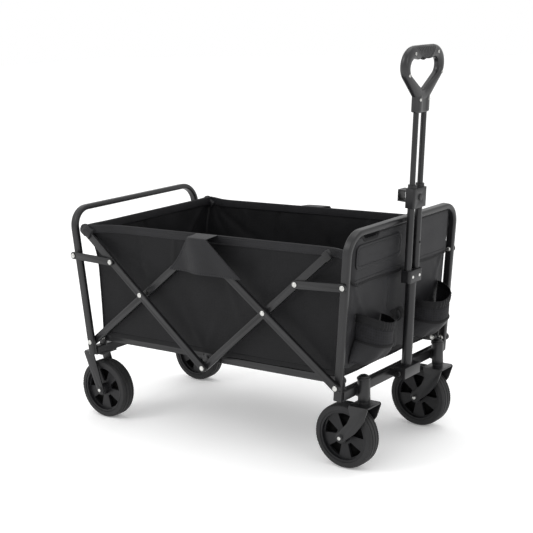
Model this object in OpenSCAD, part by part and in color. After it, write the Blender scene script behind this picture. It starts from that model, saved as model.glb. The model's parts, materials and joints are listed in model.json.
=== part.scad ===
// Folding beach cart: two leaning tube frames joined by a scissor linkage on each side,
// two swivelling front casters, two fixed rear wheels, a fabric tub and a telescoping pull handle.
// +Z is up, +X points to the handle end, and the cart's right-hand side is at -Y.

/* [Frames] */
// Distance from the centre plane to the outer face of a post
half_width = 280; // [260:1:300]
// Forward place of the front post's lower pivot, and backward place of the rear one
pivot_x = 439.5; // [420:0.5:460]
// Height of the post's lower pivot
pivot_z = 246; // [236:1:256]
// Outward lean of both end frames, in degrees
lean = 5.8; // [3:0.1:7]
// Height of the top bar above the lower pivot, measured along the post
frame_rise = 405; // [390:1:420]
// Depth of the frame tube along the cart
tube_depth = 24; // [20:1:26]
// Thickness of the frame tube across the cart
tube_width = 16; // [14:1:18]
// Radius of the frame tube's bends, at its centre line
bend_r = 56; // [45:1:70]
// Length of post below the lower pivot
post_tail = 38; // [34:1:40]

/* [Scissor] */
// Distance of each scissor crossing from the middle of the cart
cross_x = 217; // [210:1:225]
// Height of the scissor crossings
cross_z = 416.7; // [412:0.1:420]
// Height of the lower centre hinge
low_z = 234; // [228:1:240]
// Forward place of the inner bar's upper end
bar_top_x = 423; // [415:1:430]
// Distance along the inner bar's height at which the link is riveted
link_x = 320; // [312:1:328]
// Height of the link rivet on the post above the lower pivot
link_rise = 264.9; // [264:0.1:266]
// Height of a bar's section
bar_h = 20; // [18:1:22]
// Thickness of a bar
bar_t = 10; // [8:1:10]
// Thickness of a link
link_t = 5; // [3:1:5]

/* [Bottom rails] */
// Place of a rail's pivot on the crossbar
rail_x = 428; // [424:1:432]
// Height of the rails' centre line
rail_z = 252; // [250:1:254]
// Half the distance between the two rivets of the centre plate
plate_half = 14; // [12:1:18]
// Thickness of a rail
rail_t = 12; // [10:1:12]

/* [Wheels] */
// Radius of every wheel
wheel_r = 89; // [85:1:89]
// Width of the tyre
tyre_w = 46; // [40:1:48]
// Length of the hub
hub_w = 62; // [58:1:62]
// Radius at which the tyre meets the rim
rim_r = 72; // [70:1:75]
// Distance of a caster's swivel axis from the centre plane
caster_y = 195; // [190:1:205]
// Forward place of the swivel axis
caster_x = 466; // [466:1:470]
// Distance of the caster's axle behind the swivel axis
trail = 56; // [50:1:58]
// Distance of a rear wheel from the centre plane
rear_wheel_y = 215; // [208:1:222]
// Place of the rear axle
rear_axle_x = -440; // [-446:1:-436]

/* [Handle] */
// Place of the handle's pivot
handle_x = 478; // [478:1:482]
// Height of the handle's pivot
handle_z = 224; // [222:1:226]
// Forward tilt of the handle where it rests, in degrees
handle_tilt = 4.3; // [4:0.1:6]
// Distance between the two tubes of the telescope
twin_gap = 40; // [38:1:42]
// Outer width of the grip
grip_w = 198; // [186:1:206]
// Outer height of the grip with its neck
grip_h = 172; // [165:1:180]
// Thickness of the grip
grip_t = 28; // [26:1:32]

/* [Tub] */
// Distance from the centre plane to the outer side of the tub's wall
tub_half_y = 249; // [246:1:249]
// Height of the tub's hem
hem_z = 600; // [596:1:604]
// Height of the tub's floor
floor_z = 262.6; // [262.4:0.1:263]
// Place of the rear wall
tub_rear_x = -410; // [-414:1:-404]
// Thickness of the fabric walls
wall_t = 4; // [3:1:4]

/* [Hidden] */
$fn = 48;

steel = [0.16, 0.16, 0.165];
zinc = [0.78, 0.78, 0.77];
plastic = [0.11, 0.11, 0.115];
rubber = [0.14, 0.14, 0.14];
cloth = [0.12, 0.12, 0.125];

// The whole cart is shifted so that the middle of its length is at x = 0.
shift_x = -15.1;

// Lanes across the cart, as distances from the centre plane, from the post outwards and inwards
lane_gap = 0.6;
post_in = half_width - tube_width;
post_mid = half_width - tube_width / 2;
outer_lane = half_width + lane_gap;
inner_lane = half_width - bar_t;
rear_inner_lane = post_in - lane_gap - bar_t;
rear_link_lane = outer_lane + bar_t + lane_gap;
front_rail_lane = 234;
rear_rail_lane = front_rail_lane - rail_t - 3.2;
plate_lane = front_rail_lane + rail_t + lane_gap;
plate_t = 3;

rivet_r = 4;
bore_r = rivet_r + 0.05;
head_r = 7;
head_h = 3;

cross_low = (cross_z - low_z) / cross_x;
top_z = pivot_z + (cross_z - pivot_z) * pivot_x / (pivot_x - cross_x);
bar_top_z = low_z + cross_low * bar_top_x;
link_z = low_z + cross_low * link_x;
post_link_x = pivot_x + link_rise * sin(lean);
post_link_z = pivot_z + link_rise * cos(lean);

crossbar_x = 437;
crossbar_z = 218;
crossbar_d = 25;
crossbar_h = 26;
sleeve_r = 16.4;
sleeve_z0 = 190;
sleeve_z1 = 250;
stem_r = 10;
bridge_z = 178.5;
bridge_t = 4.5;
rear_plate_z = 200.5;
arm_in = 31.5;
arm_t = 3.5;
axle_z = wheel_r;
axle_r = 5;
hub_r = 17;
spokes = 5;

yoke_w = 80;
ear_t = 5;
tube_low_r = 14;
twin_r = 9.5;
twin_in_r = 7.5;
s_collar = 250;
s_block = 452;
s_guide = 504;
s_neck = 700;
slide_travel = 160;

// ---------------------------------------------------------------- helpers

// Repeats its children on the other side of the centre plane
module both_sides() {
    children();
    mirror([0, 1, 0]) children();
}

// A rectangle with round corners, centred
module round_rect(w, h, r) {
    square([w - 2 * r, h], center = true);
    square([w, h - 2 * r], center = true);
    for (x = [-1, 1], y = [-1, 1])
        translate([x * (w / 2 - r), y * (h / 2 - r)]) circle(r);
}

// A cylinder along Y on the left side, from y0 to y1
module along_y(x, z, r, y0, y1) {
    translate([x, y0, z]) rotate([-90, 0, 0]) cylinder(r = r, h = y1 - y0);
}

// A domed rivet head along Y: out = 1 points away from the centre plane
module head(x, z, y, out) {
    translate([x, y, z]) rotate([-90 * out, 0, 0]) {
        cylinder(r = head_r, h = head_h * 0.5);
        cylinder(r1 = head_r, r2 = head_r * 0.6, h = head_h);
    }
}

// A flat bar with round ends in the XZ plane, drilled at the listed distances from its first pivot;
// the centres of its ends lie tail0 and tail1 beyond the two points
module flat_bar(x0, z0, x1, z1, h, t, y, tail0, tail1, holes) {
    run = sqrt(pow(x1 - x0, 2) + pow(z1 - z0, 2));
    angle = atan2(z1 - z0, x1 - x0);
    translate([x0, y, z0]) rotate([0, -angle, 0]) difference() {
        union() {
            translate([-tail0, 0, -h / 2]) cube([run + tail0 + tail1, t, h]);
            translate([-tail0, 0, 0]) rotate([-90, 0, 0]) cylinder(r = h / 2, h = t);
            translate([run + tail1, 0, 0]) rotate([-90, 0, 0]) cylinder(r = h / 2, h = t);
        }
        for (d = holes)
            translate([d[0], -1, 0]) rotate([-90, 0, 0]) cylinder(r = d[1], h = t + 2);
    }
}

// Places its children in the front frame's leaning plane, with the lower pivot at the origin
module leaning() {
    translate([pivot_x, 0, pivot_z]) rotate([0, lean, 0]) children();
}

// Swaps front and rear
module at_rear() {
    mirror([1, 0, 0]) children();
}

// Moves the whole cart to its frame
module cart() {
    translate([shift_x, 0, 0]) children();
}

// ---------------------------------------------------------------- end frames

// An inverted U of flat-oval tube
module frame_tube() {
    top = frame_rise - tube_width / 2; // centre line of the top bar
    leaning() {
        both_sides() {
            translate([0, post_mid, -post_tail]) linear_extrude(top - bend_r + post_tail)
                round_rect(tube_depth, tube_width, 6);
            translate([0, post_mid - bend_r, top - bend_r]) rotate([90, 0, 90])
                rotate_extrude(angle = 90) translate([bend_r, 0]) round_rect(tube_width, tube_depth, 6);
        }
        translate([0, post_mid - bend_r, top]) rotate([90, 0, 0])
            linear_extrude(2 * (post_mid - bend_r)) round_rect(tube_depth, tube_width, 6);
    }
}

// A rectangular tube between the posts, with the lugs that carry the rails
module crossbar(lane) {
    translate([crossbar_x, post_in, crossbar_z]) rotate([90, 0, 0])
        linear_extrude(2 * post_in) round_rect(crossbar_d, crossbar_h, 4);
    both_sides() difference() {
        union() {
            translate([rail_x - 11, lane, crossbar_z + crossbar_h / 2 - 2]) cube([26, 4, 22]);
            along_y(rail_x, rail_z, 11, lane, lane + 4);
        }
        along_y(rail_x, rail_z, bore_r, lane - 1, lane + 5);
    }
}

module front_frame_tube() {
    color(steel) cart() frame_tube();
}

module front_crossbar() {
    color(steel) cart() {
        crossbar(plate_lane);
        both_sides() difference() {
            union() {
                translate([crossbar_x + crossbar_d / 2 - 2, yoke_w / 2 - 10.6, handle_z - 10])
                    cube([handle_x - crossbar_x - crossbar_d / 2 + 2, ear_t, 20]);
                along_y(handle_x, handle_z, 12, yoke_w / 2 - 10.6, yoke_w / 2 - 10.6 + ear_t);
            }
            along_y(handle_x, handle_z, bore_r, 0, yoke_w);
        }
    }
}

module rear_frame_tube() {
    color(steel) cart() at_rear() frame_tube();
}

module rear_crossbar() {
    color(steel) cart() at_rear() crossbar(rear_rail_lane + rail_t + lane_gap);
}

// Rivets that belong to the front frame: bar pivots, link pivots and rail pins
module front_frame_rivets() {
    color(zinc) cart() both_sides() {
        along_y(pivot_x, pivot_z, rivet_r, half_width, outer_lane + bar_t + lane_gap);
        head(pivot_x, pivot_z, outer_lane + bar_t + lane_gap, 1);
        along_y(post_link_x, post_link_z, rivet_r, half_width, outer_lane + link_t + lane_gap);
        head(post_link_x, post_link_z, outer_lane + link_t + lane_gap, 1);
        head(pivot_x, pivot_z, post_in, -1);
        head(post_link_x, post_link_z, post_in, -1);
        along_y(rail_x, rail_z, rivet_r, front_rail_lane - lane_gap, plate_lane + 4);
        head(rail_x, rail_z, front_rail_lane - lane_gap, -1);
        along_y(rail_x, rail_z, head_r, plate_lane + 4, plate_lane + 5.5);
    }
}

// Rivets that belong to the rear frame
module rear_frame_rivets() {
    lane = rear_rail_lane;
    color(zinc) cart() at_rear() both_sides() {
        along_y(pivot_x, pivot_z, rivet_r, rear_inner_lane - lane_gap, post_in);
        head(pivot_x, pivot_z, rear_inner_lane - lane_gap, -1);
        head(pivot_x, pivot_z, half_width, 1);
        along_y(post_link_x, post_link_z, head_r, half_width, rear_link_lane - lane_gap);
        along_y(post_link_x, post_link_z, rivet_r, half_width, rear_link_lane + link_t + lane_gap);
        head(post_link_x, post_link_z, rear_link_lane + link_t + lane_gap, 1);
        along_y(rail_x, rail_z, rivet_r, lane - lane_gap, lane + rail_t + lane_gap + 4);
        head(rail_x, rail_z, lane - lane_gap, -1);
        along_y(rail_x, rail_z, head_r, lane + rail_t + lane_gap + 4, lane + rail_t + lane_gap + 5.5);
    }
}

// ---------------------------------------------------------------- scissor linkage

front_run = sqrt(pow(pivot_x, 2) + pow(top_z - pivot_z, 2));
front_cross_d = front_run * (pivot_x - cross_x) / pivot_x;
low_run = sqrt(pow(bar_top_x, 2) + pow(bar_top_z - low_z, 2));
low_cross_d = low_run * cross_x / bar_top_x;
cap_len = 16;

// Bars from the front posts' lower pivots up to the top centre hinge
module front_outer_bars() {
    color(steel) cart() both_sides()
        flat_bar(pivot_x, pivot_z, 0, top_z, bar_h, bar_t, outer_lane, 3, 4,
            [[0, bore_r], [front_cross_d, rivet_r], [front_run, rivet_r]]);
}

// Bars from the bottom centre hinge up to the front corners of the tub
module front_inner_bars() {
    color(steel) cart() both_sides()
        flat_bar(0, low_z, bar_top_x, bar_top_z, bar_h, bar_t, inner_lane, 2, -bar_h / 2,
            [[0, rivet_r], [low_cross_d, bore_r]]);
}

// Bars from the rear posts' lower pivots up to the top centre hinge
module rear_inner_bars() {
    color(steel) cart() at_rear() both_sides()
        flat_bar(pivot_x, pivot_z, 0, top_z, bar_h, bar_t, rear_inner_lane, 3, 4,
            [[0, bore_r], [front_cross_d, bore_r], [front_run, 7]]);
}

// Bars from the bottom centre hinge up to the rear corners of the tub
module rear_outer_bars() {
    color(steel) cart() at_rear() both_sides()
        flat_bar(0, low_z, bar_top_x, bar_top_z, bar_h, bar_t, outer_lane, 2, -bar_h / 2,
            [[0, bore_r], [low_cross_d, rivet_r]]);
}

// A moulded cap pushed over the upper end of a bar
module bar_cap(y) {
    angle = atan2(bar_top_z - low_z, bar_top_x);
    translate([bar_top_x, y - 2, bar_top_z]) rotate([0, -angle, 0]) difference() {
        translate([-cap_len, 0, -bar_h / 2 - 2.5]) cube([cap_len + 3, bar_t + 4, bar_h + 5]);
        translate([-cap_len - 1, 2, -bar_h / 2]) cube([cap_len + 1 - bar_h / 2, bar_t, bar_h]);
        translate([-bar_h / 2, 2, 0]) rotate([-90, 0, 0]) cylinder(r = bar_h / 2, h = bar_t);
    }
}

module front_bar_caps() {
    color(plastic) cart() both_sides() bar_cap(inner_lane);
}

module rear_bar_caps() {
    color(plastic) cart() at_rear() both_sides() bar_cap(outer_lane);
}

// Rivets fixed in the front outer bars: the front crossing and the top centre hinge
module front_cross_rivets() {
    color(zinc) cart() both_sides() {
        along_y(cross_x, cross_z, rivet_r, inner_lane - lane_gap, outer_lane + bar_t);
        head(cross_x, cross_z, outer_lane + bar_t, 1);
        head(cross_x, cross_z, inner_lane - lane_gap, -1);
        along_y(0, top_z, rivet_r, rear_inner_lane - lane_gap, outer_lane + bar_t);
        along_y(0, top_z, 8, rear_inner_lane + bar_t + lane_gap, outer_lane);
        along_y(0, top_z, 9, rear_inner_lane - lane_gap - 2, rear_inner_lane - lane_gap);
        head(0, top_z, outer_lane + bar_t, 1);
    }
}

// Rivets of the bottom centre hinge, fixed in the front inner bars
module bottom_hinge_rivets() {
    color(zinc) cart() both_sides() {
        along_y(0, low_z, rivet_r, inner_lane, outer_lane + bar_t + lane_gap);
        head(0, low_z, outer_lane + bar_t + lane_gap, 1);
        head(0, low_z, inner_lane, -1);
    }
}

// Rivets of the rear crossing, fixed in the rear outer bars, with their spacers
module rear_cross_rivets() {
    color(zinc) cart() at_rear() both_sides() {
        along_y(cross_x, cross_z, rivet_r, rear_inner_lane - lane_gap, outer_lane + bar_t);
        along_y(cross_x, cross_z, head_r, rear_inner_lane + bar_t + lane_gap, outer_lane);
        head(cross_x, cross_z, outer_lane + bar_t, 1);
        head(cross_x, cross_z, rear_inner_lane - lane_gap, -1);
    }
}

// Short straps from a post to the inner or outer bar beside it
module front_links() {
    color(steel) cart() both_sides()
        flat_bar(post_link_x, post_link_z, link_x, link_z, bar_h + 1, link_t, outer_lane, 0, 0,
            [[0, bore_r], [sqrt(pow(post_link_x - link_x, 2) + pow(post_link_z - link_z, 2)), rivet_r]]);
}

module rear_links() {
    color(steel) cart() at_rear() both_sides()
        flat_bar(post_link_x, post_link_z, link_x, link_z, bar_h + 1, link_t, rear_link_lane, 0, 0,
            [[0, bore_r], [sqrt(pow(post_link_x - link_x, 2) + pow(post_link_z - link_z, 2)), rivet_r]]);
}

module front_link_rivets() {
    color(zinc) cart() both_sides() {
        along_y(link_x, link_z, rivet_r, outer_lane, outer_lane + link_t);
        head(link_x, link_z, outer_lane + link_t, 1);
    }
}

module rear_link_rivets() {
    color(zinc) cart() at_rear() both_sides() {
        along_y(link_x, link_z, rivet_r, rear_link_lane, rear_link_lane + link_t);
        head(link_x, link_z, rear_link_lane + link_t, 1);
    }
}

// ---------------------------------------------------------------- bottom rails

module rail(lane, hole) {
    flat_bar(rail_x, rail_z, plate_half, rail_z, bar_h, rail_t, lane, 0, 0,
        [[0, bore_r], [rail_x - plate_half, hole]]);
}

module front_rails() {
    color(steel) cart() both_sides() rail(front_rail_lane, bore_r);
}

module rear_rails() {
    color(steel) cart() at_rear() both_sides() rail(rear_rail_lane, rivet_r);
}

// Pressed plates that join the two rails of a side, with their rivets
module rail_hinge_plates() {
    color(steel) cart() both_sides() difference() {
        union() {
            translate([-30, plate_lane, rail_z - 12]) cube([60, plate_t, 26]);
            along_y(plate_half, rail_z, rivet_r, front_rail_lane - lane_gap, plate_lane + 1);
            along_y(plate_half, rail_z, head_r, front_rail_lane - lane_gap - 2, front_rail_lane - lane_gap);
            along_y(-plate_half, rail_z, head_r, rear_rail_lane + rail_t + lane_gap, plate_lane + 1);
            for (x = [-1, 1])
                along_y(x * plate_half, rail_z, head_r - 1, plate_lane + plate_t, plate_lane + plate_t + 1.5);
        }
        for (x = [-24, 24])
            along_y(x, rail_z + 9, 2.5, plate_lane - 1, plate_lane + plate_t + 1);
    }
}

// ---------------------------------------------------------------- casters and wheels

module caster_sleeves() {
    color(steel) cart() both_sides() difference() {
        union() {
            translate([caster_x, caster_y, sleeve_z0]) cylinder(r = sleeve_r, h = sleeve_z1 - sleeve_z0);
            translate([crossbar_x + crossbar_d / 2, caster_y - 13, crossbar_z - 13])
                cube([caster_x - crossbar_x - crossbar_d / 2, 26, crossbar_h]);
        }
        translate([caster_x, caster_y, sleeve_z0 - 1])
            cylinder(r = stem_r + 0.05, h = sleeve_z1 - sleeve_z0 + 2);
    }
}

module sleeve_caps() {
    color(plastic) cart() both_sides() translate([caster_x, caster_y, sleeve_z1]) difference() {
        union() {
            cylinder(r = sleeve_r + 1.5, h = 5);
            cylinder(r1 = sleeve_r - 1, r2 = sleeve_r - 3, h = 9);
            translate([0, 0, 9]) cylinder(r1 = sleeve_r - 3, r2 = 8, h = 3);
        }
        translate([0, 0, -1]) cylinder(r = 12, h = 7);
    }
}

// One caster's stem, centred on its swivel axis
module caster_stem(side) {
    color(zinc) cart() translate([caster_x, side * caster_y, 0]) {
        translate([0, 0, bridge_z + bridge_t]) cylinder(r = 15, h = sleeve_z0 - bridge_z - bridge_t - 0.5);
        translate([0, 0, bridge_z + bridge_t]) cylinder(r = stem_r, h = sleeve_z1 - bridge_z - bridge_t + 3);
    }
}

// The outline of a front fork's arm, sweeping down from the plate and back to the axle
module swept_arm() {
    top = bridge_z + bridge_t;
    hull() {
        translate([24, top - 6]) circle(6);
        translate([-22, top - 6]) circle(6);
        translate([-1, 150]) circle(20);
    }
    hull() {
        translate([-1, 150]) circle(20);
        translate([-20, 122]) circle(17);
    }
    hull() {
        translate([-20, 122]) circle(17);
        translate([-trail, axle_z]) circle(13);
    }
}

// A pressed steel fork: two arms and the plate between them
module front_fork(side) {
    color(steel) cart() translate([caster_x, side * caster_y, 0]) {
        for (m = [0, 1]) mirror([0, m, 0]) difference() {
            translate([0, arm_in + arm_t, 0]) rotate([90, 0, 0]) linear_extrude(arm_t) swept_arm();
            translate([-trail, arm_in - 1, axle_z]) rotate([-90, 0, 0])
                cylinder(r = axle_r, h = arm_t + 2);
        }
        translate([0, 0, bridge_z]) linear_extrude(bridge_t) round_rect(60, 2 * arm_in + 1, 6);
    }
}

// The rear forks: straight arms slanting forwards and down from a plate under the crossbar
module rear_forks() {
    plate_t = crossbar_z - crossbar_h / 2 - rear_plate_z;
    color(steel) cart() both_sides() translate([rear_axle_x, rear_wheel_y, 0]) {
        for (m = [0, 1]) mirror([0, m, 0]) difference() {
            translate([0, arm_in + arm_t, 0]) rotate([90, 0, 0]) linear_extrude(arm_t) hull() {
                circle_at(0, axle_z, 13);
                circle_at(-52, rear_plate_z + plate_t - 5, 5);
                circle_at(-24, rear_plate_z + plate_t - 5, 5);
            }
            translate([0, arm_in - 1, axle_z]) rotate([-90, 0, 0])
                cylinder(r = axle_r, h = arm_t + 2);
        }
        translate([-57, -arm_in - 0.5, rear_plate_z]) cube([71, 2 * arm_in + 1, plate_t]);
    }
}

// A disc at a place in its plane
module circle_at(x, y, r) {
    translate([x, y]) circle(r);
}

// An axle bolt with its head and nut, along Y through (x, y) at wheel height
module axle(x, y) {
    translate([x, y, axle_z]) rotate([90, 0, 0]) {
        cylinder(r = axle_r, h = 2 * arm_in + 2 * arm_t, center = true);
        for (m = [0, 1]) mirror([0, 0, m]) translate([0, 0, arm_in + arm_t]) {
            cylinder(r = 9, h = 1.5);
            cylinder(r1 = 7.5, r2 = 5, h = 5);
        }
    }
}

module front_axle(side) {
    color(zinc) cart() axle(caster_x - trail, side * caster_y);
}

module rear_axles() {
    color(zinc) cart() both_sides() axle(rear_axle_x, rear_wheel_y);
}

// Moulded wheel centre: a recessed disc with wedge windows, a hub and an outer band
module rim(x, y) {
    color(plastic) cart() translate([x, y, axle_z]) rotate([90, 0, 0]) difference() {
        union() {
            rotate_extrude($fn = 96) {
                translate([axle_r + 0.05, -hub_w / 2]) square([hub_r - axle_r - 0.05, hub_w]);
                translate([hub_r - 1, -12]) square([rim_r - hub_r - 5, 24]);
                translate([rim_r - 7, -tyre_w / 2 + 1.2]) square([7, tyre_w - 2.4]);
            }
        }
        for (k = [0:spokes - 1])
            rotate([0, 0, 18 + k * 360 / spokes]) for (m = [0, 1]) mirror([0, 0, m]) translate([0, 0, 2]) linear_extrude(14) window();
    }
}

// One wedge window, between two arcs and two straight spoke edges
module window() {
    r0 = 24;
    r1 = 61;
    half0 = 12;
    half1 = 18;
    polygon(concat(
        [for (k = [0:6]) let (a = -half1 + k * half1 / 3) [r1 * cos(a), r1 * sin(a)]],
        [for (k = [0:4]) let (a = half0 - k * half0 / 2) [r0 * cos(a), r0 * sin(a)]]));
}

// A solid tyre with a rounded shoulder and three shallow grooves
module tyre(x, y) {
    w = tyre_w / 2;
    color(rubber) cart() translate([x, y, axle_z]) rotate([90, 0, 0]) rotate_extrude($fn = 96)
        difference() {
            polygon([[rim_r, -w + 3], [rim_r + 2, -w], [wheel_r - 7, -w], [wheel_r - 2, -w + 3],
                [wheel_r, -w + 8], [wheel_r, w - 8], [wheel_r - 2, w - 3], [wheel_r - 7, w],
                [rim_r + 2, w], [rim_r, w - 3]]);
            for (g = [-10, 0, 10])
                translate([wheel_r - 1.5, g - 1.2]) square([3, 2.4]);
        }
}

// ---------------------------------------------------------------- handle

// Places its children along the tilted handle, with the pivot at the origin
module along_handle() {
    translate([handle_x, 0, handle_z]) rotate([0, handle_tilt, 0]) children();
}

module handle_pivot_bolt() {
    color(zinc) cart() translate([handle_x, 0, handle_z]) rotate([90, 0, 0]) {
        cylinder(r = rivet_r, h = yoke_w + 4, center = true);
        for (m = [0, 1]) mirror([0, 0, m]) translate([0, 0, yoke_w / 2 + 0.6])
            cylinder(r1 = 8, r2 = 6, h = 4);
    }
}

// A pressed U-shaped yoke that straddles the two ears on the crossbar
module handle_yoke() {
    wall = 5;
    color(steel) cart() along_handle() difference() {
        translate([-16, -yoke_w / 2, -12]) cube([36, yoke_w, 30]);
        translate([-17, -yoke_w / 2 + wall, -20]) cube([32.5, yoke_w - 2 * wall, 33]);
        translate([0, yoke_w, 0]) rotate([90, 0, 0]) cylinder(r = bore_r, h = 2 * yoke_w);
    }
}

module handle_lower_tube() {
    color(steel) cart() along_handle() difference() {
        translate([0, 0, 18]) cylinder(r = tube_low_r, h = s_collar - 18 + 12);
        translate([0, 0, 30]) cylinder(r = tube_low_r - 2, h = s_collar);
    }
}

// The moulded collar that clamps the lower tube to the twin tubes
module collar_clamp() {
    color(plastic) cart() along_handle() difference() {
        translate([0, 0, s_collar]) linear_extrude(34) round_rect(30, twin_gap + 26, 8);
        translate([0, 0, s_collar - 1]) cylinder(r = tube_low_r, h = 13);
        for (m = [-1, 1]) translate([0, m * twin_gap / 2, s_collar + 18]) cylinder(r = twin_r, h = 20);
    }
}

module collar_rivets() {
    color(zinc) cart() along_handle() for (m = [-1, 1])
        translate([15, m * 17, s_collar + 17]) rotate([0, 90, 0]) cylinder(r1 = 4.5, r2 = 3, h = 2);
}

module handle_outer_tubes() {
    color(steel) cart() along_handle() difference() {
        union() {
            for (m = [-1, 1]) translate([0, m * twin_gap / 2, s_collar + 18])
                cylinder(r = twin_r, h = s_guide - s_collar - 18);
        }
        for (m = [-1, 1]) translate([0, m * twin_gap / 2, s_collar + 17])
            cylinder(r = twin_in_r + 0.05, h = s_guide);
        translate([twin_r - 4, twin_gap / 2, 355]) rotate([0, 90, 0]) cylinder(r = 3, h = 8);
    }
}

// The latch body with its guide bushes on top and an open strap loop behind
module latch_block() {
    h = s_guide - s_block;
    color(plastic) cart() along_handle() difference() {
        union() {
            translate([1, 0, s_block]) linear_extrude(h) round_rect(28, twin_gap + 26, 5);
            for (m = [-1, 1]) translate([0, m * twin_gap / 2, s_guide]) cylinder(r = 11.5, h = 9);
            difference() {
                translate([-44, -17, s_block + 12]) cube([34, 34, 31]);
                translate([-40, -18, s_block + 16]) cube([26.5, 36, 23]);
            }
        }
        for (m = [-1, 1]) translate([0, m * twin_gap / 2, s_block - 1]) cylinder(r = twin_r, h = h + 1);
        for (m = [-1, 1]) translate([0, m * twin_gap / 2, s_guide - 1]) cylinder(r = twin_in_r + 0.05, h = 12);
        translate([4, 0, s_block + 28]) rotate([0, 90, 0]) cylinder(r = 9.05, h = 20);
    }
}

// A small coil spring behind the button
module latch_spring() {
    color(zinc) cart() along_handle() translate([4.4, 0, s_block + 28]) rotate([0, 90, 0])
        for (k = [0:2]) translate([0, 0, k * 1.6]) rotate_extrude() translate([5, 0.6]) circle(0.6);
}

module latch_button() {
    color(plastic) cart() along_handle() translate([9.6, 0, s_block + 28]) rotate([0, 90, 0]) {
        cylinder(r = 9, h = 6.5);
        translate([0, 0, 6.5]) cylinder(r1 = 9, r2 = 7.5, h = 1.5);
    }
}

module handle_inner_tubes() {
    color(steel) cart() along_handle() for (m = [-1, 1])
        translate([0, m * twin_gap / 2, s_guide - 60]) difference() {
            cylinder(r = twin_in_r, h = s_neck - s_guide + 60 + 22);
            translate([0, 0, -1]) cylinder(r = twin_in_r - 1.5, h = s_neck - s_guide + 60 + 24);
        }
}

// The grip's outline in the plane across the cart, with its hand hole
module grip_outline() {
    difference() {
        union() {
            hull() {
                circle_at(-grip_w / 2 + 48, grip_h - 50, 48);
                circle_at(grip_w / 2 - 48, grip_h - 50, 48);
                circle_at(-20, 42, 12);
                circle_at(20, 42, 12);
            }
            translate([0, 24]) square([64, 48], center = true);
        }
        hull() {
            circle_at(-grip_w / 2 + 48, grip_h - 57, 22);
            circle_at(grip_w / 2 - 48, grip_h - 57, 22);
            circle_at(0, 69, 10);
        }
    }
}

// Half of the grip; both halves meet in the middle plane
module grip_half(side) {
    color(plastic) cart() along_handle() translate([0, 0, s_neck]) difference() {
        translate([side > 0 ? 0 : -grip_t / 2, 0, 0]) rotate([90, 0, 90])
            linear_extrude(grip_t / 2) grip_outline();
        for (m = [-1, 1]) translate([0, m * twin_gap / 2, -1]) cylinder(r = twin_in_r, h = 23);
        if (side > 0)
            for (p = grip_screw_places) translate([grip_t / 2 - 2, p[0], p[1]])
                rotate([0, 90, 0]) cylinder(r = 4, h = 3);
    }
}

grip_screw_places = [[-58, 152], [58, 152], [-83, 99], [83, 99], [-22, 34], [22, 34]];

module grip_screws() {
    color(zinc) cart() along_handle() translate([0, 0, s_neck])
        for (p = grip_screw_places) translate([grip_t / 2 - 2, p[0], p[1]])
            rotate([0, 90, 0]) difference() {
                cylinder(r = 4, h = 1.6);
                translate([-0.6, -3, 0.8]) cube([1.2, 6, 1]);
                translate([-3, -0.6, 0.8]) cube([6, 1.2, 1]);
            }
}

// ---------------------------------------------------------------- fabric tub

wall_z = floor_z + 6;

module tub_floor() {
    color(cloth) cart()
        translate([tub_rear_x + wall_t + 0.6, -tub_half_y + wall_t, floor_z])
            cube([pivot_x - tub_rear_x - wall_t - 3.4, 2 * (tub_half_y - wall_t), 5.4]);
}

// The side walls reach forward almost to the leaning front wall
module tub_side_walls() {
    x0 = pivot_x - wall_t / cos(lean) - 0.8;
    color(cloth) cart() both_sides()
        translate([0, tub_half_y, 0]) rotate([90, 0, 0]) linear_extrude(wall_t)
            polygon([[tub_rear_x, wall_z], [x0 + (wall_z - pivot_z) * tan(lean), wall_z],
                [x0 + (hem_z - pivot_z) * tan(lean), hem_z], [tub_rear_x, hem_z]]);
}

module tub_rear_wall() {
    color(cloth) cart()
        translate([tub_rear_x, -tub_half_y + wall_t, wall_z])
            cube([wall_t, 2 * (tub_half_y - wall_t), hem_z + 8 - wall_z]);
}

// The front wall's outline: square below, round above to clear the bends of the frame
module front_outline() {
    bend_z = frame_rise - tube_width / 2 - bend_r;
    reach = post_in - 4;
    round_r = bend_r - tube_width / 2 - 4;
    hull() {
        translate([-reach, 24]) square([2 * reach, 10]);
        circle_at(reach - round_r, bend_z, round_r);
        circle_at(round_r - reach, bend_z, round_r);
    }
}

// The front wall hangs inside the front frame, leans with it and stays there as the cart folds
module tub_front_wall() {
    color(cloth) cart() leaning()
        translate([-wall_t, 0, 0]) rotate([90, 0, 90]) linear_extrude(wall_t) front_outline();
}

pocket_y = 150;
pocket_r = 46;
pocket_z0 = 305;
pocket_z1 = 414;
pocket_x = 468;

// Two open cup pockets sewn to the front wall
module cup_pockets() {
    color(cloth) cart() both_sides() difference() {
        union() {
            translate([pocket_x, pocket_y, pocket_z0])
                cylinder(r = pocket_r, h = pocket_z1 - pocket_z0);
            translate([pocket_x - 40, pocket_y - pocket_r, pocket_z0])
                cube([40, 2 * pocket_r, pocket_z1 - pocket_z0]);
        }
        translate([pocket_x, pocket_y, pocket_z0 + 3])
            cylinder(r = pocket_r - 3, h = pocket_z1 - pocket_z0);
        translate([pocket_x - 50, pocket_y - pocket_r + 3, pocket_z0 + 3])
            cube([50, 2 * pocket_r - 6, pocket_z1 - pocket_z0]);
        leaning() translate([-100, 0, 0]) cube([100, 300, 300]);
    }
}

// Flaps that hang from the hem over the top centre hinges
module hinge_flaps() {
    flap_y = outer_lane + bar_t + head_h + 1.4;
    color(cloth) cart() both_sides() {
        translate([-110, flap_y, 510]) cube([220, 2, hem_z + 4 - 510]);
        translate([-40, tub_half_y, hem_z + 2]) cube([80, flap_y - tub_half_y + 2, 2]);
    }
}

// ---------------------------------------------------------------- nodes

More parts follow.
